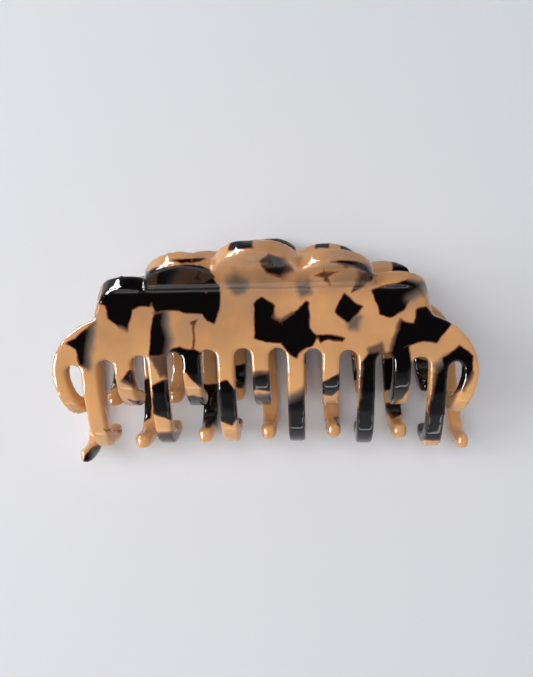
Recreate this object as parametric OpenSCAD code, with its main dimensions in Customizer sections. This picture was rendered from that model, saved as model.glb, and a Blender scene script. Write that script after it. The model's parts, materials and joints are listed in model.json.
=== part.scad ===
// Large scalloped claw clip: two bent acetate jaws on a sprung hinge.
//
// The clip is drawn standing, with X along its length, Z up towards the handles and the hinge
// pin on the X axis. Each jaw is drawn on the +Y side and mirrored for the front. The finished
// clip is then laid on its back jaw, which is how it rests on a table.

/* [Jaw sheet] */
// Thickness of the acetate sheet that both jaws are cut and bent from
sheet_t = 4; // [3.2:0.1:4.8]
// Distance from the middle of the clip to the outer face beside the hinge
waist_y = 13.7; // [11.5:0.1:16.5]
// Height of the straight band beside the hinge, from the handle's crease down
waist_h = 5.5; // [4.5:0.1:6.6]
// Distance from the middle of the clip to the outer face at the belly
belly_y = 15.2; // [14.8:0.1:16.2]
// Depth of the belly's widest level below the handle's crease
belly_drop = 17; // [14.5:0.5:20]

/* [Handles] */
// Lean of each handle away from upright, in degrees
handle_lean = 53; // [44:1:58]
// Radius of the middle scallop
mid_scallop_r = 10.6; // [8.8:0.1:12.8]
// Height of the middle scallop's centre up the handle, from the crease
mid_scallop_up = 5.1; // [3.9:0.1:5.7]
// Radius of the scallop on each side of the middle one
side_scallop_r = 10.2; // [8.5:0.1:12.2]
// Distance of the side scallops from the middle of the clip
side_scallop_x = 17.2; // [14.3:0.1:19]
// Height of the side scallops' centres up the handle, from the crease
side_scallop_up = 0.9; // [0.7:0.1:1.1]
// Radius of the low scallop next to each shoulder
low_scallop_r = 9.2; // [8.8:0.1:10.5]
// Distance of the low scallops from the middle of the clip
low_scallop_x = 32.2; // [28:0.1:34]
// Depth of the low scallops' centres below the crease, along the handle's slope
low_scallop_down = 7.5; // [6.3:0.1:7.6]
// Radius of the round shoulder at each end of a jaw
shoulder_r = 14.3; // [12:0.1:17]
// Depth of the shoulders' centres below the crease
shoulder_drop = 20.6; // [18:0.1:24]

/* [Teeth] */
// Distance between tooth centres
tooth_pitch = 8.5; // [7:0.1:10.2]
// Width of a tooth
tooth_w = 4.3; // [3.6:0.1:5.1]
// Width of the tooth at each end of a jaw
end_tooth_w = 3.6; // [3:0.1:4.3]
// Width of the gap beside an end tooth
end_gap_w = 3.7; // [3:0.1:4.3]
// Depth of the middle tooth gap's top below the crease
gap_drop = 13.8; // [12.5:0.1:15.5]
// How much lower the gap tops lie one pitch out, growing with the square of the distance
gap_bow = 0.125; // [0.1:0.005:0.15]
// Depth of a middle long hook's centre below the crease
long_hook_drop = 30.7; // [27:0.1:36]
// How much lower the long hooks lie one pitch out, growing with the square of the distance
hook_bow = 0.07; // [0.05:0.005:0.085]
// How much lower again the hooks of the long end teeth lie
end_long_extra = 2; // [0:0.1:2.5]
// Bend radius of a long hook, at the middle of the sheet
long_hook_r = 8; // [6.7:0.1:9.6]
// How far a long tooth's tip centre passes the middle of the clip
long_tip_past = 3; // [2:0.1:4]
// Depth of a short hook's centre below the crease
short_hook_drop = 18; // [17.5:0.1:20]
// Bend radius of a short hook, at the middle of the sheet
short_hook_r = 11; // [9.2:0.1:11.5]
// Distance from a short tooth's tip centre to the middle of the clip
short_tip_gap = 2.4; // [2:0.1:2.9]
// Depth of a short end tooth's hook centre below the crease
end_hook_drop = 23.4; // [22.8:0.1:26]
// Bend radius of a short end tooth's hook, at the middle of the sheet
end_hook_r = 7; // [5.9:0.1:8.2]
// How far a short end tooth follows the shoulder's round edge, in degrees
end_turn = 22; // [18:1:26]
// Direction of the tips, in degrees from straight down
tip_turn = 94; // [80:1:100]

/* [Hinge] */
// Diameter of the steel hinge pin
pin_d = 2.2; // [1.8:0.1:2.7]
// Radial clearance between the pin and the lugs' bores
pin_clear = 0.05; // [0.02:0.01:0.1]
// How far askew the front jaw is glued to its lugs, in degrees
front_skew = 2.3; // [0:0.1:2.5]
// Thickness of each glued hinge lug
lug_t = 3; // [2.5:0.1:3.6]
// Radius of a lug's round end
lug_r = 3.4; // [2.8:0.1:3.7]
// Gap between neighbours along the pin
side_gap = 0.3; // [0.2:0.05:0.4]
// Diameter of the pin's formed heads
head_d = 4.2; // [3.6:0.1:5]
// Height of the pin's formed heads
head_h = 1.1; // [0.9:0.1:1.3]
// Diameter of the spring wire
wire_d = 1.2; // [1:0.05:1.45]
// Full turns of the spring's coil
coil_turns = 9; // [7:1:11]
// Distance between coil turns
coil_pitch = 1.45; // [1.45:0.05:1.75]
// Length of each spring arm from the coil to its end
arm_l = 18; // [15:0.5:21.5]
// Gap between a spring arm and the handle it pushes
arm_clear = 0.05; // [0.03:0.01:0.1]

/* [Hidden] */
$fn = 72;

// Teeth are counted from the middle, so the end teeth are number -6 and 6
end_tooth = 6;
// Overlap that joins the pieces of one solid
joint = 1;
// How much slimmer a tooth is than the belly on each face
hair = 0.03;
// How far the belly's arc is drawn above and below its widest level, in degrees
belly_span = 40;
// Overlap of a short end tooth's root and its hook, in degrees round the shoulder
end_lap = 4;
// How far the low scallops stand out past the collar above the shoulders
collar_step = 0.8;
// Depth of the belly's lower edge below its widest level, where the teeth take over
belly_lip = 3;
// A length that reaches past any part of the clip
far = 200;

waist_in = waist_y - sheet_t;
// The handle's inner face meets the waist's this far above the crease
crease_in_z = sheet_t * tan(handle_lean / 2);
// The belly is an arc whose outer face meets the waist's lower edge
bulge = belly_y - waist_y;
bulge_h = belly_drop - waist_h;
belly_r = (bulge_h * bulge_h + bulge * bulge) / (2 * bulge);
belly_cy = belly_y - belly_r;
belly_cz = -belly_drop;
belly_mid_r = belly_r - sheet_t / 2;
// Height at which the belly's inner face meets the waist's
waist_end_in_z = belly_cz + sqrt(pow(belly_r - sheet_t, 2) - pow(waist_in - belly_cy, 2));

jaw_half = (end_tooth - 1) * tooth_pitch + tooth_w / 2 + end_gap_w + end_tooth_w;
shoulder_x = jaw_half - shoulder_r;
collar_half = low_scallop_x + low_scallop_r - collar_step;
gap_w = tooth_pitch - tooth_w;
gap_bottom = belly_drop + belly_lip;

// Distance from the hinge pin to the inner plane of a handle
handle_off = waist_y * cos(handle_lean) - sheet_t;
coil_r = handle_off - arm_clear - wire_d / 2;
coil_l = coil_turns * coil_pitch + wire_d;
front_lug_x = coil_l / 2 + side_gap;
back_lug_x = front_lug_x + lug_t + side_gap;
pin_half = back_lug_x + lug_t + side_gap;

// The coil starts square to the front handle's slope and ends square to the back handle's
turn_first = -180 + handle_lean;
turn_last = 360 * coil_turns - handle_lean;
wire_sides = 8;
coil_steps = coil_turns * 14;

// Middle of the edge at the top of a handle, on its outer and its inner face
handle_len = mid_scallop_up + mid_scallop_r;
edge = [waist_y, 0] + handle_len * [sin(handle_lean), cos(handle_lean)];
edge_in = edge + sheet_t * [-cos(handle_lean), sin(handle_lean)];

// Laid down, the clip rests on the back handle's edge and on the belly's arc. This is the
// direction of the floor, in degrees above straight back, and its distance from the hinge pin.
edge_out = edge - [belly_cy, belly_cz];
floor_turn = atan2(edge_out.y, edge_out.x) - acos(belly_r / norm(edge_out));
floor_dist = edge * [cos(floor_turn), sin(floor_turn)];

// The lowest corner of a back end tooth's tip and the handle's edge are the laid clip's ends
end_hook_z = -long_hook_drop - hook_bow * end_tooth * end_tooth - end_long_extra;
end_hook_y = belly_cy + sqrt(pow(belly_mid_r - long_hook_r, 2) - pow(end_hook_z - belly_cz, 2));
end_hook_out = long_hook_r + sheet_t / 2 - hair;
end_tip_y = -long_tip_past - end_tooth_w / 2;
end_tip_z = end_hook_z - end_hook_out * sin(tip_turn)
          - (end_hook_y + end_hook_out * cos(tip_turn) - end_tip_y) / tan(tip_turn);
laid_mid_y = (laid_y([end_tip_y, end_tip_z]) + laid_y(edge_in)) / 2;

acetate = "burlywood";
dark_acetate = "saddlebrown";
steel = "silver";

// A solid whose outline is drawn in Y and Z and stretched along X
module along_x(length) {
  rotate([90, 0, 90]) linear_extrude(length, center = true) children();
}

// A solid whose outline is drawn in X and Z and stretched along Y
module along_y(length) {
  rotate([90, 0, 0]) linear_extrude(length, center = true) children();
}

// A pie slice of the given radius between two angles less than half a turn apart
module slice(radius, from, to) {
  mid = (from + to) / 2;
  polygon([[0, 0], radius * [cos(from), sin(from)], 2 * radius * [cos(mid), sin(mid)],
           radius * [cos(to), sin(to)]]);
}

// A curved strip of the sheet's thickness about its middle radius
module strip(mid_r, from, to) {
  intersection() {
    difference() {
      circle(mid_r + sheet_t / 2);
      circle(mid_r - sheet_t / 2);
    }
    slice(mid_r * 2, from, to);
  }
}

// Seen from the end: the handle and the straight waist under it
module upper_section() {
  slope = [sin(handle_lean), cos(handle_lean)];
  reach = handle_len + joint;
  polygon([[waist_y, 0], [waist_y, 0] + reach * slope, [waist_in, crease_in_z] + reach * slope,
           [waist_in, crease_in_z], [waist_in, waist_end_in_z],
           [waist_in + joint, waist_end_in_z - joint], [waist_y, -waist_h - joint]]);
}

// The handle's scalloped outline on its own slope, with 0 at the crease
module handle_outline() {
  translate([0, mid_scallop_up]) circle(mid_scallop_r);
  for (side = [-1, 1]) {
    translate([side * side_scallop_x, side_scallop_up]) circle(side_scallop_r);
    translate([side * low_scallop_x, -low_scallop_down]) circle(low_scallop_r);
  }
  polygon([[-low_scallop_x, -low_scallop_down], [-side_scallop_x, side_scallop_up],
           [0, mid_scallop_up], [side_scallop_x, side_scallop_up],
           [low_scallop_x, -low_scallop_down], [low_scallop_x, -far], [-low_scallop_x, -far]]);
}

module upper_jaw() {
  intersection() {
    along_x(3 * low_scallop_x) upper_section();
    translate([0, waist_y, 0]) rotate([-handle_lean, 0, 0]) along_y(far) handle_outline();
  }
}

// Seen from the front: collar, shoulders and the gaps' tops
module lower_outline() {
  difference() {
    union() {
      translate([-collar_half, -gap_bottom - joint]) square([2 * collar_half, 2 * gap_bottom]);
      for (side = [-1, 1]) translate([side * shoulder_x, -shoulder_drop]) circle(shoulder_r);
    }
    for (k = [0.5:end_tooth - 1]) for (side = [-1, 1])
      tooth_gap(side * k * tooth_pitch, gap_w, gap_drop + gap_bow * k * k);
    for (side = [-1, 1])
      tooth_gap(side * (jaw_half - end_tooth_w - end_gap_w / 2), end_gap_w,
                gap_drop + gap_bow * pow(end_tooth - 0.5, 2));
  }
}

// A gap with a round top between two teeth
module tooth_gap(x, width, drop) {
  translate([x, -drop - width / 2]) circle(d = width);
  translate([x - width / 2, -drop - width / 2 - far]) square([width, far]);
}

module belly() {
  intersection() {
    along_x(far) intersection() {
      translate([belly_cy, belly_cz]) strip(belly_mid_r, -belly_span, belly_span);
      polygon([[waist_y, -waist_h], [waist_in, waist_end_in_z], [0, waist_end_in_z],
               [0, -gap_bottom], [far, -gap_bottom], [far, -waist_h]]);
    }
    along_y(far) lower_outline();
  }
}

// Points on an arc about a centre, from one angle to another in steps of about 8 degrees
function arc(centre, radius, from, to) =
  let (steps = ceil(abs(to - from) / 8))
  [for (k = [0:steps]) let (a = from + k * (to - from) / steps) centre + radius * [cos(a), sin(a)]];

// A tooth from inside the sheet above it round its hook to a rounded tip. It is slimmer than
// the sheet by a hair all round, so its root lies wholly inside.
module tooth(width, root_drop, hook_drop, hook_r, tip_y) {
  half_t = sheet_t / 2 - hair;
  ring = [belly_cy, belly_cz];
  root = asin((root_drop - belly_drop) / belly_mid_r);
  start = asin((hook_drop - belly_drop) / (belly_mid_r - hook_r));
  hook = ring + (belly_mid_r - hook_r) * [cos(start), -sin(start)];
  hook_end = [cos(tip_turn), -sin(tip_turn)];
  tip_l = (hook.x + hook_r * hook_end.x - tip_y + width) / sin(tip_turn);
  tip = tip_l * [-sin(tip_turn), -cos(tip_turn)];
  intersection() {
    along_x(width - 2 * hair) polygon(concat(
      arc(ring, belly_mid_r + half_t, -root, -start),
      arc(hook, hook_r + half_t, -start, -tip_turn),
      [hook + (hook_r + half_t) * hook_end + tip, hook + (hook_r - half_t) * hook_end + tip],
      arc(hook, hook_r - half_t, -tip_turn, -start),
      arc(ring, belly_mid_r - half_t, -start, -root)));
    translate([0, tip_y, -far]) linear_extrude(far) {
      circle(d = width + 2 * hair);
      translate([-width, 0]) square([2 * width, far]);
    }
  }
}

// The short end tooth's root, which follows the shoulder's round edge
module end_root() {
  half_t = sheet_t / 2 - hair;
  intersection() {
    along_x(far) polygon(concat(
      arc([belly_cy, belly_cz], belly_mid_r + half_t, 0, -end_turn),
      arc([belly_cy, belly_cz], belly_mid_r - half_t, -end_turn, 0)));
    translate([shoulder_x, 0, -shoulder_drop]) along_y(far) polygon(concat(
      arc([0, 0], shoulder_r - hair, end_lap, -end_turn),
      arc([0, 0], shoulder_r - end_tooth_w + hair, -end_turn, end_lap)));
  }
}

module short_end_tooth() {
  end_root();
  mid_r = shoulder_r - end_tooth_w / 2;
  turn = end_turn - end_lap;
  drop = shoulder_drop + mid_r * sin(turn);
  translate([shoulder_x + mid_r * cos(turn), 0, -drop]) rotate([0, turn, 0]) translate([0, 0, drop])
    tooth(end_tooth_w - 2 * hair, drop, end_hook_drop, end_hook_r, short_tip_gap);
}

// One jaw. Long and short teeth take turns, and the long ones are those numbered like
// first_long: 0 for even numbers, the end teeth among them, and 1 for odd numbers.
module jaw(first_long) {
  root_drop = gap_bottom - joint;
  upper_jaw();
  belly();
  for (k = [1 - end_tooth:end_tooth - 1]) translate([k * tooth_pitch, 0, 0])
    if ((k + first_long) % 2 == 0)
      tooth(tooth_w, root_drop, long_hook_drop + hook_bow * k * k, long_hook_r, -long_tip_past);
    else tooth(tooth_w, root_drop, short_hook_drop, short_hook_r, short_tip_gap);
  for (side = [0, 1]) mirror([side, 0, 0])
    if (first_long == 0) translate([jaw_half - end_tooth_w / 2, 0, 0])
      tooth(end_tooth_w, root_drop, -end_hook_z, long_hook_r, -long_tip_past);
    else short_end_tooth();
}

// A hinge lug, glued to the waist of the jaw on the +Y side and bored for the pin
module lug() {
  base_top = [waist_in, 0];
  base_low = [waist_in, waist_end_in_z];
  along_x(lug_t) difference() {
    union() {
      circle(lug_r);
      polygon([base_low, base_top, tangent(base_top, 1), [0, 0], tangent(base_low, -1)]);
    }
    circle(d = pin_d + 2 * pin_clear);
  }
}

// Where the line from a point touches the lug's round end
function tangent(point, side) =
  let (turn = atan2(point.y, point.x) + side * acos(lug_r / norm(point)))
  lug_r * [cos(turn), sin(turn)];

// A point on the spring wire's centre line. The coil winds along X between two straight arms.
function coil_point(turn) =
  [coil_l / 2 - wire_d / 2 - (turn - turn_first) / (turn_last - turn_first) * (coil_l - wire_d),
   coil_r * cos(turn), coil_r * sin(turn)];

// One ring of points round the wire, square to the arm or the coil at that turn
function wire_ring(centre, turn) =
  [for (a = [0:360 / wire_sides:359])
    centre + wire_d / 2 * [sin(a), cos(a) * cos(turn), cos(a) * sin(turn)]];

module spring_wire() {
  arm_first = arm_l * [0, -sin(turn_first), cos(turn_first)];
  arm_last = arm_l * [0, -sin(turn_last), cos(turn_last)];
  rings = concat(
    [wire_ring(coil_point(turn_first) - arm_first, turn_first)],
    [for (k = [0:coil_steps]) let (turn = turn_first + k * (turn_last - turn_first) / coil_steps)
      wire_ring(coil_point(turn), turn)],
    [wire_ring(coil_point(turn_last) + arm_last, turn_last)]);
  last = len(rings) - 1;
  points = [for (ring = rings) for (point = ring) point];
  faces = concat(
    [[for (k = [0:wire_sides - 1]) k]],
    [for (r = [0:last - 1]) for (k = [0:wire_sides - 1]) let (next = (k + 1) % wire_sides)
      [r * wire_sides + k, (r + 1) * wire_sides + k, (r + 1) * wire_sides + next, r * wire_sides + next]],
    [[for (k = [wire_sides - 1:-1:0]) last * wire_sides + k]]);
  polyhedron(points, faces);
}

// How far a point of the standing clip lies towards the handles once the clip is laid down
function laid_y(point) = point.y * cos(floor_turn) - point.x * sin(floor_turn);

// Turns the standing clip onto its back jaw, centred above the origin
module laid_down() {
  translate([0, -laid_mid_y, floor_dist]) rotate([-90 - floor_turn, 0, 0]) children();
}

module back_jaw() {
  color(acetate) laid_down() jaw(0);
}

// The front jaw mirrors the back one's bends, and sits askew about its belly's widest level
module front_jaw() {
  color(acetate) laid_down() translate([0, 0, belly_cz]) rotate([0, front_skew, 0])
    translate([0, 0, -belly_cz]) mirror([0, 1, 0]) jaw(1);
}

module back_lug(side) {
  color(dark_acetate) laid_down() translate([side * (back_lug_x + lug_t / 2), 0, 0]) lug();
}

module front_lug(side) {
  color(dark_acetate) laid_down() mirror([0, 1, 0])
    translate([side * (front_lug_x + lug_t / 2), 0, 0]) lug();
}

module back_lug_left() { back_lug(-1); }
module back_lug_right() { back_lug(1); }
module front_lug_left() { front_lug(-1); }
module front_lug_right() { front_lug(1); }

module hinge_pin() {
  color(steel) laid_down() rotate([0, 90, 0]) {
    cylinder(h = 2 * pin_half, d = pin_d, center = true);
    for (side = [0, 1]) mirror([0, 0, side]) translate([0, 0, pin_half]) intersection() {
      cylinder(h = head_h, d = head_d);
      translate([0, 0, head_h - head_d]) sphere(head_d);
    }
  }
}

module spring() {
  color(steel) laid_down() spring_wire();
}

back_jaw();
front_jaw();
back_lug_left();
back_lug_right();
front_lug_left();
front_lug_right();
hinge_pin();
spring();
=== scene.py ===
import bpy
import json
import math
import numpy as np
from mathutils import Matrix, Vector, noise


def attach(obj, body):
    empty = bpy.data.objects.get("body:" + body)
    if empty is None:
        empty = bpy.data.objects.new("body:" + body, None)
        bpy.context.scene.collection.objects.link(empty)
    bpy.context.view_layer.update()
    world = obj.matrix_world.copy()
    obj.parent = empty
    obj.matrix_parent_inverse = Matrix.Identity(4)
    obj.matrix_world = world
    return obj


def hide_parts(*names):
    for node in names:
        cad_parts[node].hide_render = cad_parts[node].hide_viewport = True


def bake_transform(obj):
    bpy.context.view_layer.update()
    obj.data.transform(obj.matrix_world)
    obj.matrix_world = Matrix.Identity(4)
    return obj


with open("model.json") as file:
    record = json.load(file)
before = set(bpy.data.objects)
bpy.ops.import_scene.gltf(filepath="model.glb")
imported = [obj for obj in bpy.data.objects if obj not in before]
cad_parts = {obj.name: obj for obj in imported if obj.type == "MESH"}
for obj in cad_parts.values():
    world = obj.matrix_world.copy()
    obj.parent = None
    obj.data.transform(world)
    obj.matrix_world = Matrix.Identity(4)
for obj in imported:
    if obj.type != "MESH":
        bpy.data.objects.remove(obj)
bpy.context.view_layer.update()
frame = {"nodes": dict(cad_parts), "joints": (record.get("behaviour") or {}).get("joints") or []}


# ---- Jaws ----
# Each jaw is sawn from 4 mm cellulose acetate sheet, bent hot over a former and then tumbled
# until every edge is round and the whole surface has a deep polish. The two jaws mirror each
# other, with long and short teeth in turn so that they cross when the clip is shut.

mm = 0.001
hinge = Vector(frame["joints"][0]["pos_m"])
# How far the clip's middle leans from upright as it lies on its back jaw
lean = math.radians(18.1766)
polish_voxel = 0.4 * mm
polish_passes = 16
tip_passes = 60
# A tip is what lies further than this below the hinge, and less than this out on the jaw's own
# side of the clip's middle. It blends into the rest of the tooth over the fade
tips_below = 22 * mm
tips_inside = 6 * mm
tips_fade = 4 * mm


def across(point):
    """How far a point lies to the back jaw's side of the clip's middle, and how far above the
    hinge, measured along that middle."""
    y, z = point.y - hinge.y, point.z - hinge.z
    return (y * math.sin(lean) - z * math.cos(lean), y * math.cos(lean) + z * math.sin(lean))


def fade_in(length):
    """0 up to no length, rising to 1 over the tips' fade."""
    return min(1.0, max(0.0, length / tips_fade))


def polished_copy(name, node, own_side):
    """A mesh of its own, shaped like the CAD node but with the edges rolled round by polishing.
    own_side is 1 for the jaw on the back side of the middle and -1 for the front one."""
    piece = bpy.data.objects.new(name, frame["nodes"][node].data.copy())
    bpy.context.scene.collection.objects.link(piece)
    piece.data.materials.clear()
    bpy.ops.object.select_all(action="DESELECT")
    piece.select_set(True)
    bpy.context.view_layer.objects.active = piece
    bpy.ops.object.mode_set(mode="EDIT")
    bpy.ops.mesh.select_all(action="SELECT")
    bpy.ops.mesh.remove_doubles(threshold=0.002 * mm)
    bpy.ops.object.mode_set(mode="OBJECT")
    remesh = piece.modifiers.new("even_skin", "REMESH")
    remesh.mode = "VOXEL"
    remesh.voxel_size = polish_voxel
    remesh.use_smooth_shade = True
    bpy.ops.object.modifier_apply(modifier="even_skin")
    tumble = piece.modifiers.new("tumbled", "SMOOTH")
    tumble.factor = 0.5
    tumble.iterations = polish_passes
    bpy.ops.object.modifier_apply(modifier="tumbled")
    tips = piece.vertex_groups.new(name="tips")
    for v in piece.data.vertices:
        back, up = across(v.co)
        share = fade_in(tips_inside - own_side * back) * fade_in(-tips_below - up)
        tips.add([v.index], share, "REPLACE")
    finish = piece.modifiers.new("rounded_tips", "SMOOTH")
    finish.factor = 0.5
    finish.iterations = tip_passes
    finish.vertex_group = "tips"
    bpy.ops.object.modifier_apply(modifier="rounded_tips")
    piece.vertex_groups.clear()
    bpy.ops.object.shade_smooth()
    return piece


# Waves in the chips' edges: how closely they follow each other, for each millimetre, and how far
# they sway, in millimetres. The seed makes them the same each time
noise.seed_set(4)
slow_waves, slow_sway = 0.33, 0.45
quick_waves, quick_sway = 1.1, 0.16
# The depth of skin that no chip reaches, and a gap wider than any
no_chip = -6.0
far_off = 99.0


def lay_chips(piece, chips, seed):
    """Stores how deep each point of the skin lies inside the sheet's dark chips, counted in
    widths of the nearest edge's softness, and that softness in millimetres."""
    count = len(piece.data.vertices)
    co = np.empty(count * 3, np.float32)
    piece.data.vertices.foreach_get("co", co)
    co = co.reshape(-1, 3).astype(float) / mm
    slow = np.array([noise.noise_vector(Vector(p) * slow_waves + Vector((seed, 0, 0))) for p in co])
    quick = np.array([noise.noise_vector(Vector(p) * quick_waves + Vector((0, seed, 0))) for p in co])
    at = co[:, :2] + slow_sway * slow[:, :2] + quick_sway * quick[:, :2]
    depth = np.full(count, no_chip)
    softness = np.zeros(count)
    for limit, corners in chips:
        within = np.zeros(count, bool)
        gap = np.full(count, far_off)
        soft = np.zeros(count)
        for k, (x, y, edge_soft) in enumerate(corners):
            x2, y2, _ = corners[(k + 1) % len(corners)]
            side = np.array([x2 - x, y2 - y])
            off = at - (x, y)
            share = np.clip(off @ side / (side @ side), 0, 1)
            d = np.linalg.norm(off - share[:, None] * side, axis=1) / edge_soft
            nearer = d < gap
            gap[nearer] = d[nearer]
            soft[nearer] = edge_soft
            spans = (y > at[:, 1]) != (y2 > at[:, 1])
            if y2 != y:
                within ^= spans & (at[:, 0] < x + (at[:, 1] - y) * (x2 - x) / (y2 - y))
        inside = np.minimum(np.where(within, gap, -gap), limit)
        over = inside > depth
        depth[over] = inside[over]
        softness[over] = soft[over]
    for label, values in (("chip_depth", depth), ("chip_soft", softness)):
        attribute = piece.data.attributes.new(label, "FLOAT", "POINT")
        attribute.data.foreach_set("value", values.astype(np.float32))


# A chip is its greatest depth and its corners: how far along the clip and how far towards the
# handles, in millimetres, and how soft the edge to the next corner is: sharp, medium or wide. A
# solid chip is black, and a depth near 0 leaves only a brown or grey haze
solid = 6
s, m, w = 0.25, 0.8, 1.6
front_chips = [
    (solid, [(-38.5, 7, s), (-37.5, 14, s), (-25, 14, s), (-25, 9.5, s), (-26, 6, s), (-30.5, 5.3, s),
             (-36, 6, s)]),
    (solid, [(-26.5, 9.5, s), (-25.5, 12.7, s), (-22, 12.6, s), (-18.5, 12.4, s), (-18, 4.5, s),
             (-25, 4.2, s)]),
    (solid, [(-19.5, 12.5, s), (-13, 12.5, s), (-9.6, 11.6, s), (-8.2, 8, s), (-9.4, 3.5, s),
             (-13.2, 3.2, s), (-19, 4.3, s)]),
    (solid, [(-13.6, 3.6, s), (-9.5, 4, s), (-10.3, 0.8, s), (-12.3, 1.6, s)]),
    (solid, [(-37, 6.6, s), (-30.4, 6, s), (-30.6, 3, s), (-32, 0.2, m), (-33.8, 1, s),
             (-36.8, 3.6, s)]),
    (solid, [(-47.6, -2, s), (-40, 2.4, w), (-42.4, -8, s), (-44.6, -7.4, s), (-45.3, -3.4, s)]),
    (solid, [(-25.4, 4.4, m), (-22.4, 4.6, w), (-21.4, -2, w), (-22.4, -6, s), (-26.8, -6, s),
             (-26.4, 0, s)]),
    (solid, [(-22.5, -5.6, s), (-19.5, -4, s), (-15.5, -5.2, s), (-13.5, -6.6, s), (-13.2, -11, s),
             (-15.4, -14, s), (-18, -10.5, s)]),
    (0.5, [(-16.4, 1.5, s), (-14.3, 2, s), (-14.9, 0.8, s), (-15.8, 0.7, s)]),
    (0.4, [(-15.6, 0.6, s), (-15.1, 0.6, s), (-15.8, -4.8, s), (-16.3, -4.9, s)]),
    (solid, [(-18, 14.2, s), (-15, 13.9, s), (-10.3, 14.4, s), (-11.5, 13.2, s), (-15.4, 12.8, s)]),
    (solid, [(-3.6, 19, s), (0.4, 19, s), (1.1, 13.9, s), (-4.6, 14.4, s)]),
    (solid, [(1.8, 11.9, s), (4.2, 12.9, s), (7.4, 11.9, m), (9.2, 10.5, m), (6.8, 9.9, s),
             (3.7, 10.2, s)]),
    (0.25, [(-6, 9.4, w), (-4, 10.2, w), (-2, 9.2, w), (-3, 8, w), (-5, 7.8, w)]),
    (0, [(10.2, 8.2, w), (12.4, 8.6, w), (12.6, 7, w), (10.8, 6.4, w)]),
    (0.9, [(14.3, 9.5, s), (19.3, 9.8, s), (16.6, 8.8, s)]),
    (0.9, [(16, 10.2, s), (17.8, 8.1, s), (16.3, 8.7, s)]),
    (solid, [(17.4, 11.1, s), (21.3, 11.5, s), (26, 11.3, m), (28.3, 10, s), (26.5, 9.2, s),
             (22.5, 10, s)]),
    (solid, [(24.3, 9.6, m), (28, 10.3, s), (27.2, 7.9, s), (22.4, 6.4, s), (23.6, 8.2, m)]),
    (solid, [(20.8, 6.5, s), (25.2, 3, s), (21.7, -0.9, s), (18.4, 2, s)]),
    (0.1, [(22, 0.2, w), (24, 0.6, w), (23.4, -1.8, w), (22, -1.6, w)]),
    (solid, [(27.1, 6.8, s), (32.5, 7.7, s), (36, 8.6, m), (41.4, 8, w), (39, 5.4, w), (35.9, 4.2, s),
             (34.7, 1.7, s), (31.7, 0.2, s), (29, 1.1, s)]),
    (solid, [(37.4, 1.6, s), (40, 2.3, s), (42, 0.2, s), (45.6, -1.8, s), (42, -6.4, s), (38, -5.6, s),
             (36.6, -2, s)]),
    (solid, [(33.8, -0.3, s), (38.4, -2.4, s), (38.6, -5.6, s), (35.3, -6.8, s), (30.6, -8.6, m),
             (32.3, -3.8, m)]),
    (solid, [(29.5, -8, s), (35.6, -6.6, s), (36, -11, s), (35.4, -17, s), (32.6, -19.4, m),
             (29.4, -18.6, s)]),
    (solid, [(23.7, -10.5, s), (26.2, -7.4, m), (28.6, -7.2, s), (28, -29, s), (21.4, -29, s),
             (23.2, -18, m)]),
    (solid, [(42.9, -9.8, s), (47.3, -7.2, s), (50.3, -9.8, s), (50, -13.6, m), (48.2, -17.4, m),
             (44, -17, s)]),
    (solid, [(41.6, -11.5, w), (44.4, -9.6, s), (45, -16, s), (43.4, -29, s), (38.6, -29, s),
             (40.4, -19, m)]),
    (solid, [(-0.7, 5.4, s), (1.1, 6.4, s), (4.4, 4.5, s), (4.1, 1.8, m), (5.6, 0.6, s), (5.6, -4.8, s),
             (2.9, -4.2, s), (-1, -3.3, s)]),
    (solid, [(5.3, 0.9, m), (8.3, 2.8, s), (11.9, 5, s), (12.6, 4.4, s), (12.2, -1.4, s), (14, -3.3, s),
             (12.8, -5.2, s), (10.4, -6.3, s), (5.2, -5, s)]),
    (solid, [(5, -4.4, s), (11, -5.6, s), (8.6, -8.4, s), (7.2, -7.4, s)]),
    (1.2, [(13.6, -3.1, s), (17.3, -3.1, s), (20.4, -4.3, s), (19.6, -4.9, s), (16.7, -4.3, s),
           (14.6, -5.3, s)]),
    (0.2, [(26, -7, m), (29, -5.6, m), (29.6, -9.5, m), (26, -9.5, m)]),
    (solid, [(13.9, -14.2, s), (19.4, -12.2, m), (19.6, -15.6, s), (16.7, -17.2, s), (14, -16.4, m)]),
    (2, [(5.4, -17.5, w), (11.4, -15.5, w), (11.4, -28, s), (5.4, -28, s)]),
    (solid, [(-3, -11.6, m), (3.4, -10.8, s), (3.4, -15, s), (-3, -15.2, s)]),
    (solid, [(-11.2, -13.2, s), (-8.5, -12.4, s), (-6.8, -15, s), (-5.6, -17.5, s), (-5.6, -20.5, s),
             (-8.5, -23.4, s), (-11.5, -22, s)]),
    (solid, [(-27, -13, s), (-22.1, -11, s), (-21.6, -20.2, s), (-23.8, -21.4, s), (-28, -19.8, s)]),
    (0.6, [(-30, -24.5, m), (-23, -24.5, s), (-23, -30, s), (-30, -30, s)]),
    (0.4, [(-26.5, -6.4, m), (-21.5, -5.2, m), (-21, -9, m), (-24.5, -11, m)]),
    (solid, [(-34.6, -11.6, s), (-31.9, -9, s), (-30.2, -12, s), (-31.2, -13.6, m)]),
    (3, [(-34.4, -15.6, s), (-30, -16.6, s), (-30.6, -18.4, s), (-33.6, -18, s)]),
    (solid, [(-41.6, -22.9, s), (-37.4, -24, s), (-40, -25.2, s)]),
    (2, [(-19.6, -15.6, s), (-14, -16.4, s), (-15, -18.8, s), (-19.4, -18, m)]),
    (2, [(-2.6, -16.2, m), (3, -16.2, m), (3, -18, m), (-2.6, -18, m)]),
]
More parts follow.
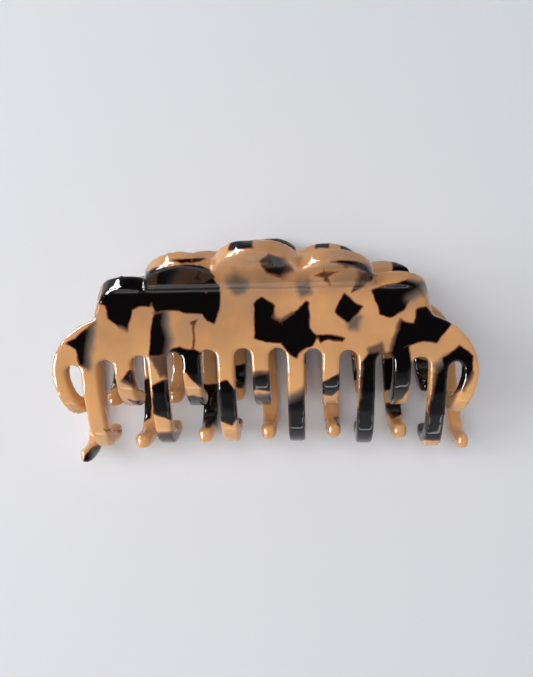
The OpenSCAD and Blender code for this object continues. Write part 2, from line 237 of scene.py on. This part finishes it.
back_chips = [
    (solid, [(0.5, 26, s), (9.5, 25, s), (9.5, 38, s), (0.5, 38, s)]),
    (solid, [(15, 26, s), (19, 25.6, s), (18, 33, s), (16, 33, s)]),
    (solid, [(22, 25, s), (27, 23, s), (28, 34, s), (22, 34, s)]),
    (solid, [(35.2, 15, s), (38.5, 14, s), (44, 17, s), (44, 26, s), (36, 26, s)]),
    (solid, [(-47, -24, s), (-39, -22, s), (-46, -37, s), (-54, -37, s)]),
    (solid, [(-20, -11, s), (-14, -11, s), (-13.6, -22.5, m), (-20, -23.5, s)]),
    (1, [(17.4, -22.2, s), (21, -21.8, s), (21, -24, s), (18.2, -24.4, s)]),
    (1, [(31, -19, s), (37.5, -17.5, s), (38, -21, s), (33, -23, m)]),
    (solid, [(-38, -10, s), (-33.6, -8, s), (-34, -20, s), (-38, -22, s)]),
    (solid, [(-12, -6, s), (-6, -6, s), (-6.4, -13.4, s), (-12, -12, s)]),
    (solid, [(19, -5, s), (24, -5, s), (24.4, -12, s), (20, -14, s)]),
    (solid, [(27, -7, s), (36, -6, s), (36, -14, s), (30, -16, s)]),
    (solid, [(38, -6, s), (46, -8, s), (45.6, -18, s), (41, -18, s)]),
    (solid, [(-30, 20, s), (-18, 25, s), (-16, 16, m), (-24, 13, s)]),
    (solid, [(-40, 6, s), (-30, 9, s), (-29, 2, s), (-36, -3, m)]),
    (solid, [(-12, 8, s), (-2, 10, s), (-1, 2, s), (-8, -1, s)]),
    (solid, [(6, 15, s), (14, 17, m), (17, 9, s), (9, 6, s)]),
    (solid, [(24, 10, s), (33, 8, s), (31, 0, m), (25, 1, s)]),
    (solid, [(-48, -6, s), (-42, -2, s), (-41, -10, m), (-46, -13, s)]),
    (solid, [(4, -1, s), (12, 1, s), (13, -6, s), (6, -8, s)]),
    (0.1, [(-20, 5, w), (-14, 6, w), (-15, 0, w), (-20, 0, w)]),
    (0.1, [(36, 4, w), (42, 3, w), (41, -2, w), (36, -2, w)]),
]



def new_finish(name):
    """A new material, its nodes, its links and its shader."""
    finish = bpy.data.materials.new(name)
    finish.use_nodes = True
    nodes = finish.node_tree.nodes
    return finish, nodes, finish.node_tree.links, nodes["Principled BSDF"]


acetate, nodes, links, shader = new_finish("tortoiseshell_acetate")
place = nodes.new("ShaderNodeTexCoord")
depth_in = nodes.new("ShaderNodeAttribute")
depth_in.attribute_name = "chip_depth"
soft_in = nodes.new("ShaderNodeAttribute")
soft_in.attribute_name = "chip_soft"

clouds = nodes.new("ShaderNodeTexNoise")
clouds.inputs["Scale"].default_value = 75
clouds.inputs["Detail"].default_value = 3
honey = nodes.new("ShaderNodeValToRGB")
milky_beige = honey.color_ramp.elements[0]
milky_beige.position = 0.32
milky_beige.color = (0.44, 0.265, 0.155, 1)
warm_honey = honey.color_ramp.elements.new(0.48)
warm_honey.color = (0.56, 0.285, 0.125, 1)
pale_honey = honey.color_ramp.elements[2]
pale_honey.position = 0.68
pale_honey.color = (0.72, 0.375, 0.165, 1)
links.new(place.outputs["Object"], clouds.inputs["Vector"])
links.new(clouds.outputs["Fac"], honey.inputs["Fac"])

# Further down towards the teeth the honey is mixed into a light orange. This is a painted glow that
# stands in for light shining through the thin teeth, not a colour of the sheet
split = nodes.new("ShaderNodeSeparateXYZ")
tooth_glow_fade = nodes.new("ShaderNodeMapRange")
tooth_glow_fade.interpolation_type = "SMOOTHSTEP"
tooth_glow_fade.inputs["From Min"].default_value = 2 * mm
tooth_glow_fade.inputs["From Max"].default_value = -18 * mm
tooth_glow_fade.inputs["To Max"].default_value = 0.85
painted_tooth_glow = nodes.new("ShaderNodeMix")
painted_tooth_glow.data_type = "RGBA"
painted_tooth_glow.inputs["B"].default_value = (0.88, 0.46, 0.18, 1)
links.new(place.outputs["Object"], split.inputs["Vector"])
links.new(split.outputs["Y"], tooth_glow_fade.inputs["Value"])
links.new(tooth_glow_fade.outputs["Result"], painted_tooth_glow.inputs["Factor"])
links.new(honey.outputs["Color"], painted_tooth_glow.inputs["A"])

rim = nodes.new("ShaderNodeMix")
rim.data_type = "RGBA"
rim.inputs["A"].default_value = (0.27, 0.09, 0.04, 1)
rim.inputs["B"].default_value = (0.20, 0.145, 0.11, 1)
softer = nodes.new("ShaderNodeMapRange")
softer.inputs["From Min"].default_value = 0.4
softer.inputs["From Max"].default_value = 1.2
links.new(soft_in.outputs["Fac"], softer.inputs["Value"])
links.new(softer.outputs["Result"], rim.inputs["Factor"])

into_rim = nodes.new("ShaderNodeMapRange")
into_rim.interpolation_type = "SMOOTHSTEP"
into_rim.inputs["From Min"].default_value = -1
into_rim.inputs["From Max"].default_value = 0.1
into_dark = nodes.new("ShaderNodeMapRange")
into_dark.interpolation_type = "SMOOTHSTEP"
into_dark.inputs["From Min"].default_value = -0.3
into_dark.inputs["From Max"].default_value = 1.2
links.new(depth_in.outputs["Fac"], into_rim.inputs["Value"])
links.new(depth_in.outputs["Fac"], into_dark.inputs["Value"])

edged = nodes.new("ShaderNodeMix")
edged.data_type = "RGBA"
links.new(into_rim.outputs["Result"], edged.inputs["Factor"])
links.new(painted_tooth_glow.outputs["Result"], edged.inputs["A"])
links.new(rim.outputs["Result"], edged.inputs["B"])
chipped = nodes.new("ShaderNodeMix")
chipped.data_type = "RGBA"
chipped.inputs["B"].default_value = (0.003, 0.002, 0.002, 1)
links.new(into_dark.outputs["Result"], chipped.inputs["Factor"])
links.new(edged.outputs["Result"], chipped.inputs["A"])

specks = nodes.new("ShaderNodeTexVoronoi")
specks.inputs["Scale"].default_value = 130
specks.inputs["Randomness"].default_value = 1
links.new(place.outputs["Object"], specks.inputs["Vector"])
speck_mask = nodes.new("ShaderNodeMapRange")
speck_mask.inputs["From Min"].default_value = 0.035
speck_mask.inputs["From Max"].default_value = 0.06
speck_mask.inputs["To Min"].default_value = 0.75
speck_mask.inputs["To Max"].default_value = 0
links.new(specks.outputs["Distance"], speck_mask.inputs["Value"])
speckled = nodes.new("ShaderNodeMix")
speckled.data_type = "RGBA"
speckled.inputs["B"].default_value = (0.16, 0.06, 0.03, 1)
links.new(speck_mask.outputs["Result"], speckled.inputs["Factor"])
links.new(chipped.outputs["Result"], speckled.inputs["A"])
links.new(speckled.outputs["Result"], shader.inputs["Base Color"])

shader.inputs["Roughness"].default_value = 0.05
shader.inputs["IOR"].default_value = 1.5
shader.inputs["Coat Weight"].default_value = 0.2
shader.inputs["Coat Roughness"].default_value = 0.02
shader.inputs["Subsurface Weight"].default_value = 0.18
shader.inputs["Subsurface Radius"].default_value = (1.0, 0.5, 0.25)
shader.inputs["Subsurface Scale"].default_value = 2.0 * mm
ripple = nodes.new("ShaderNodeTexNoise")
ripple.inputs["Scale"].default_value = 110
ripple.inputs["Detail"].default_value = 1
bump = nodes.new("ShaderNodeBump")
bump.inputs["Strength"].default_value = 0.05
bump.inputs["Distance"].default_value = 0.15 * mm
links.new(place.outputs["Object"], ripple.inputs["Vector"])
links.new(ripple.outputs["Fac"], bump.inputs["Height"])
links.new(bump.outputs["Normal"], shader.inputs["Normal"])

for name, node, body, own_side, chips, seed in (
        ("front_jaw_polished", "front_jaw", "front", -1, front_chips, 3.0),
        ("back_jaw_polished", "back_jaw", "back", 1, back_chips, 8.0)):
    jaw = polished_copy(name, node, own_side)
    lay_chips(jaw, chips, seed)
    jaw.data.materials.append(acetate)
    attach(jaw, body)
    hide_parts(node)


# ---- Hinge lugs ----
# Four ears of dark brown acetate, glued to the inside of the jaws' waists and bored for the
# pin. The front jaw's pair stands between the back jaw's pair.

dark, nodes, links, shader = new_finish("dark_acetate")
place = nodes.new("ShaderNodeTexCoord")
clouds = nodes.new("ShaderNodeTexNoise")
clouds.inputs["Scale"].default_value = 220
clouds.inputs["Detail"].default_value = 4
tones = nodes.new("ShaderNodeValToRGB")
tones.color_ramp.elements[0].position = 0.35
tones.color_ramp.elements[0].color = (0.020, 0.011, 0.008, 1)
tones.color_ramp.elements[1].position = 0.7
tones.color_ramp.elements[1].color = (0.16, 0.065, 0.03, 1)
links.new(place.outputs["Object"], clouds.inputs["Vector"])
links.new(clouds.outputs["Fac"], tones.inputs["Fac"])
links.new(tones.outputs["Color"], shader.inputs["Base Color"])
shader.inputs["Roughness"].default_value = 0.12

for node in ("back_lug_left", "back_lug_right", "front_lug_left", "front_lug_right"):
    lug = frame["nodes"][node]
    lug.data.materials.clear()
    lug.data.materials.append(dark)


# ---- Hinge pin ----
# A plain steel wire pin through all four ears, with each end upset into a low domed head.

pin_steel, nodes, links, shader = new_finish("pin_steel")
shader.inputs["Metallic"].default_value = 1
place = nodes.new("ShaderNodeTexCoord")
stretch = nodes.new("ShaderNodeMapping")
stretch.inputs["Scale"].default_value = (60, 900, 900)
streaks = nodes.new("ShaderNodeTexNoise")
streaks.inputs["Scale"].default_value = 1
streaks.inputs["Detail"].default_value = 4
tones = nodes.new("ShaderNodeValToRGB")
tones.color_ramp.elements[0].color = (0.42, 0.41, 0.39, 1)
tones.color_ramp.elements[1].color = (0.72, 0.71, 0.68, 1)
wear = nodes.new("ShaderNodeMapRange")
wear.inputs["To Min"].default_value = 0.22
wear.inputs["To Max"].default_value = 0.38
links.new(place.outputs["Object"], stretch.inputs["Vector"])
links.new(stretch.outputs["Vector"], streaks.inputs["Vector"])
links.new(streaks.outputs["Fac"], tones.inputs["Fac"])
links.new(streaks.outputs["Fac"], wear.inputs["Value"])
links.new(tones.outputs["Color"], shader.inputs["Base Color"])
links.new(wear.outputs["Result"], shader.inputs["Roughness"])
frame["nodes"]["hinge_pin"].data.materials.clear()
frame["nodes"]["hinge_pin"].data.materials.append(pin_steel)


# ---- Spring ----
# One torsion spring of drawn steel wire wound round the pin between the ears. Its two straight
# arms press outwards on the inside of the handles, which keeps the teeth shut.

wire_r = 0.6 * mm
ring_reach = 1.05 * wire_r
coil_r = 3.595 * mm
coil_half = 6.525 * mm
coil_steps = 222
arm = 18 * mm
# Where round the pin the coil starts, and how far it winds: nine turns and the part of a turn
# between its two arms
first_turn = math.radians(-198.82)
whole_turn = math.radians(9 * 360 + 74)

bpy.ops.object.select_all(action="DESELECT")
bpy.ops.mesh.primitive_circle_add(vertices=12, radius=wire_r, location=(0, 0, 0), rotation=(0, 0, 0))
spring = bpy.context.active_object
spring.name = "spring_wire"
bpy.ops.object.mode_set(mode="EDIT")
bpy.ops.mesh.select_all(action="SELECT")
bpy.ops.transform.translate(value=(coil_half, coil_r, 0))
bpy.ops.object.mode_set(mode="OBJECT")
wind = spring.modifiers.new("wind", "SCREW")
wind.axis = "X"
wind.angle = whole_turn
wind.screw_offset = -2 * coil_half
wind.steps = coil_steps
wind.render_steps = coil_steps
wind.use_smooth_shade = True
bpy.ops.object.modifier_apply(modifier="wind")

for end_x, turn, sense in ((coil_half, 0.0, -1), (-coil_half, whole_turn, 1)):
    ring_middle = Vector((end_x, coil_r * math.cos(turn), coil_r * math.sin(turn)))
    for v in spring.data.vertices:
        v.select = (v.co - ring_middle).length < ring_reach
    for e in spring.data.edges:
        e.select = all(spring.data.vertices[i].select for i in e.vertices)
    for p in spring.data.polygons:
        p.select = False
    along = sense * arm * Vector((0, -math.sin(turn), math.cos(turn)))
    bpy.ops.object.mode_set(mode="EDIT")
    bpy.ops.mesh.extrude_region_move(TRANSFORM_OT_translate={"value": along})
    bpy.ops.mesh.edge_face_add()
    bpy.ops.object.mode_set(mode="OBJECT")

spring.rotation_euler = (first_turn, 0, 0)
spring.location = hinge
bpy.ops.object.transform_apply(location=True, rotation=True, scale=True)
bpy.ops.object.mode_set(mode="EDIT")
bpy.ops.mesh.select_all(action="SELECT")
bpy.ops.mesh.normals_make_consistent(inside=False)
bpy.ops.object.mode_set(mode="OBJECT")
bpy.ops.object.shade_smooth_by_angle(angle=math.radians(50))

wire, nodes, links, shader = new_finish("spring_wire_steel")
shader.inputs["Metallic"].default_value = 1
place = nodes.new("ShaderNodeTexCoord")
haze = nodes.new("ShaderNodeTexNoise")
haze.inputs["Scale"].default_value = 700
haze.inputs["Detail"].default_value = 3
tones = nodes.new("ShaderNodeValToRGB")
tones.color_ramp.elements[0].color = (0.36, 0.35, 0.33, 1)
tones.color_ramp.elements[1].color = (0.66, 0.65, 0.61, 1)
wear = nodes.new("ShaderNodeMapRange")
wear.inputs["To Min"].default_value = 0.2
wear.inputs["To Max"].default_value = 0.36
links.new(place.outputs["Object"], haze.inputs["Vector"])
links.new(haze.outputs["Fac"], tones.inputs["Fac"])
links.new(haze.outputs["Fac"], wear.inputs["Value"])
links.new(tones.outputs["Color"], shader.inputs["Base Color"])
links.new(wear.outputs["Result"], shader.inputs["Roughness"])
spring.data.materials.append(wire)
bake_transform(spring)
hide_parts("spring")


# ---- Table, light and camera ----
# A pale matt table top, lit by windows on the left and in front and by the soft light of a
# white room, which is dark straight overhead, where someone leans over the table.

bpy.ops.object.select_all(action="DESELECT")
bpy.ops.mesh.primitive_plane_add(size=1.6, location=(0, 0, 0))
table = bpy.context.active_object
table.name = "table_top"
paint, _, _, shader = new_finish("table_paint")
shader.inputs["Base Color"].default_value = (0.80, 0.80, 0.83, 1)
shader.inputs["Roughness"].default_value = 0.8
shader.inputs["Specular IOR Level"].default_value = 0.1
table.data.materials.append(paint)

room = bpy.data.worlds.new("white_room")
bpy.context.scene.world = room
room.use_nodes = True
nodes, links = room.node_tree.nodes, room.node_tree.links
outlook = nodes.new("ShaderNodeTexCoord")
split = nodes.new("ShaderNodeSeparateXYZ")
walls = nodes.new("ShaderNodeValToRGB")
walls.color_ramp.elements[0].position = 0.22
walls.color_ramp.elements[0].color = (0.93, 0.94, 1.0, 1)
walls.color_ramp.elements[1].position = 0.62
walls.color_ramp.elements[1].color = (0.05, 0.05, 0.06, 1)
links.new(outlook.outputs["Generated"], split.inputs["Vector"])
links.new(split.outputs["Z"], walls.inputs["Fac"])
links.new(walls.outputs["Color"], nodes["Background"].inputs["Color"])
nodes["Background"].inputs["Strength"].default_value = 0.5
bpy.context.scene.view_settings.view_transform = "Standard"

# The windows show only as reflections, and the daylight and the ceiling light the surfaces
clip_middle = Vector((0, 0, 0.02))
for name, at, size, size_y, power, seen_as_gloss in (
        ("near_window", (-0.50, -0.22, 0.36), 0.34, 0.26, 8.0, True),
        ("far_window", (-0.42, 0.30, 0.34), 0.34, 0.26, 8.0, True),
        ("low_window", (0.05, -0.60, 0.08), 0.70, 0.05, 0.35, True),
        ("daylight", (-0.75, 0.05, 0.62), 0.50, 0.50, 4.0, False),
        ("ceiling", (-0.10, -0.05, 0.90), 0.80, 0.80, 5.5, False)):
    data = bpy.data.lights.new(name, "AREA")
    data.shape = "RECTANGLE"
    data.size = size
    data.size_y = size_y
    data.energy = power
    data.color = (1.0, 0.97, 0.95) if seen_as_gloss else (0.98, 0.99, 1.0)
    lamp = bpy.data.objects.new(name, data)
    lamp.location = at
    lamp.visible_glossy = seen_as_gloss
    lamp.visible_diffuse = not seen_as_gloss
    lamp.rotation_euler = (clip_middle - Vector(at)).to_track_quat("-Z", "Y").to_euler()
    bpy.context.scene.collection.objects.link(lamp)

eye = bpy.data.cameras.new("camera")
eye.sensor_fit = "VERTICAL"
eye.sensor_height = 36
eye.lens = 33.3335
eye.clip_start = 0.01
camera = bpy.data.objects.new("camera", eye)
camera.location = (13.190 * mm, -26.625 * mm, 180.225 * mm)
camera.rotation_euler = (math.radians(8.771), math.radians(4.7387), math.radians(-2.2954))
bpy.context.scene.collection.objects.link(camera)
bpy.context.scene.camera = camera
